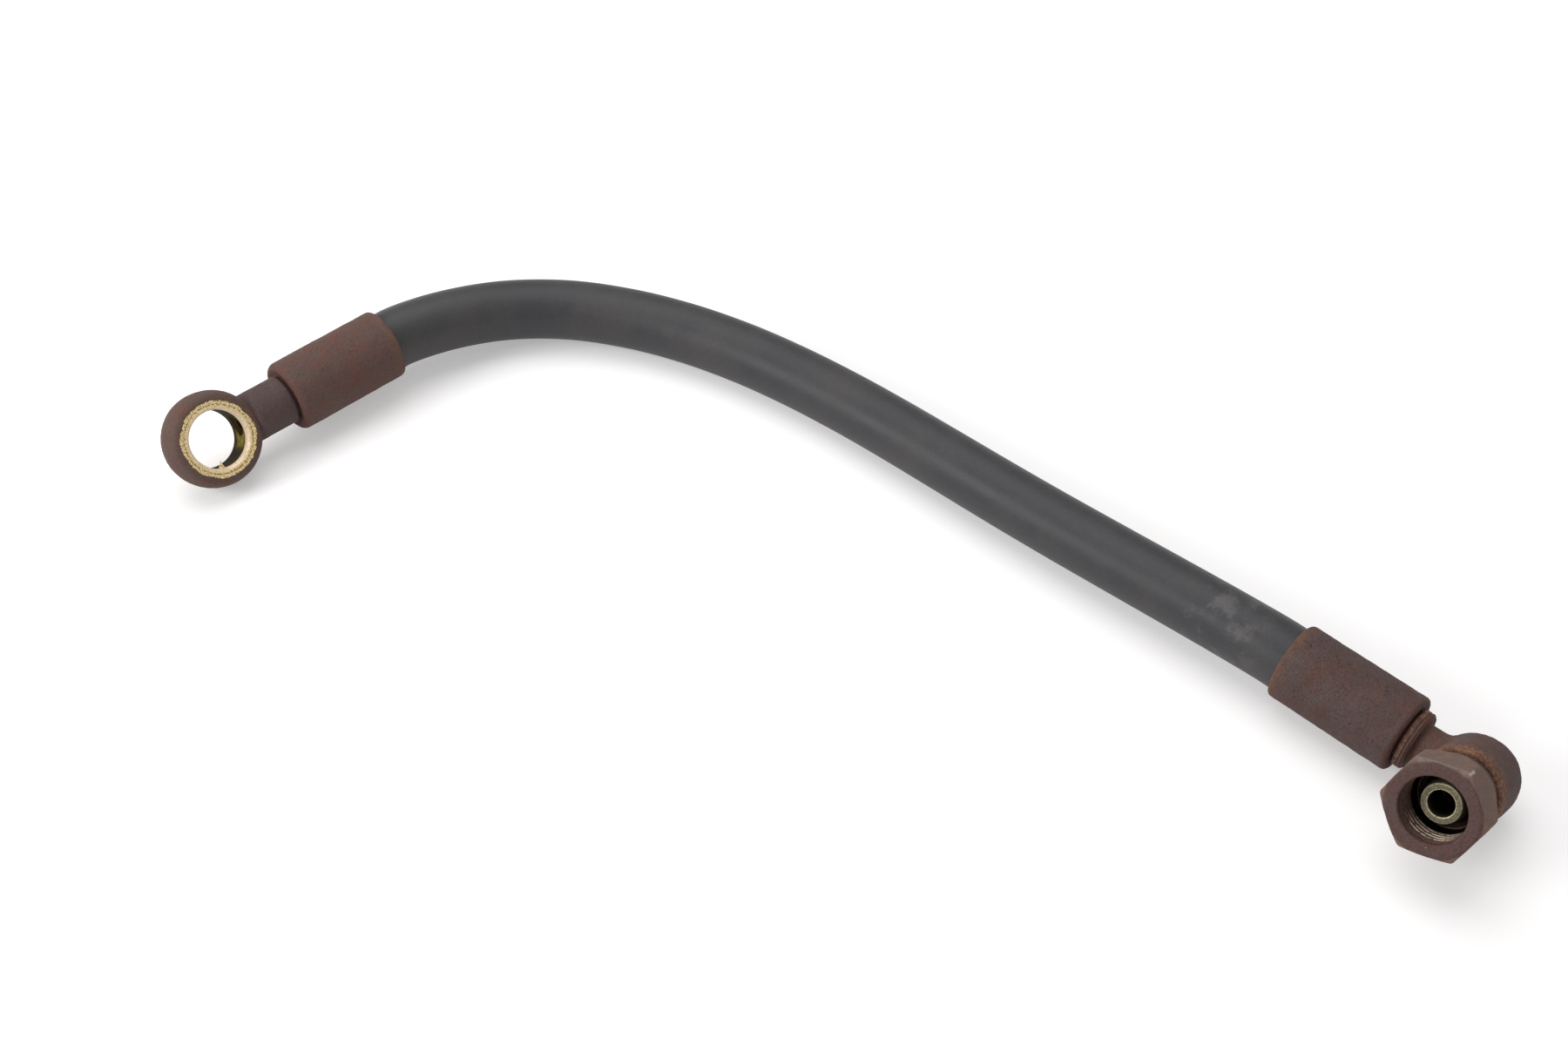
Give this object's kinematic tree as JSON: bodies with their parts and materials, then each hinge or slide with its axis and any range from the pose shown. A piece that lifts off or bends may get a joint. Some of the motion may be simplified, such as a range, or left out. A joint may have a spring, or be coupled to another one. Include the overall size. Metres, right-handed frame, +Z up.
{
  "type": "hydraulic suspension hose",
  "caption": "Short curved rubber hydraulic hose with crimped ferrules, a banjo ring at one end and a right-angle elbow with a swivel union nut at the other.",
  "frame": {"origin": "centre of the fittings' bounding box, on the surface that the hose lies on", "axes": "+X from the banjo end to the elbow end, +Z up as the hose lies at rest"},
  "size_m": [0.3474, 0.2101, 0.0352],
  "materials": {
    "black_rubber": "matt black rubber with a faint wrap texture",
    "rusted_steel": "dark brown rust, matt",
    "rusted_ferrule_steel": "brown-grey rust with streaks, matt",
    "orange_rusted_steel": "orange-brown rust with bright worn spots",
    "rusted_nut_steel": "dark brown rust with bright worn edges"
  },
  "bodies": {
    "hose_assembly": {"hose": "black_rubber", "banjo_ring": "rusted_steel", "banjo_hose_tail": "rusted_steel", "banjo_ferrule": "rusted_ferrule_steel", "elbow_ferrule": "rusted_ferrule_steel", "elbow_hose_tail": "orange_rusted_steel", "elbow_body": "rusted_steel"},
    "nut": {"union_nut": "rusted_nut_steel"}
  },
  "joints": [
    {"name": "nut_swivel", "type": "hinge", "parent": "hose_assembly", "child": "nut", "pos_m": [0.16337, -0.06735, 0.01065], "axis": [-0.5891, -0.6512, 0.4785], "continuous": true}
  ]
}
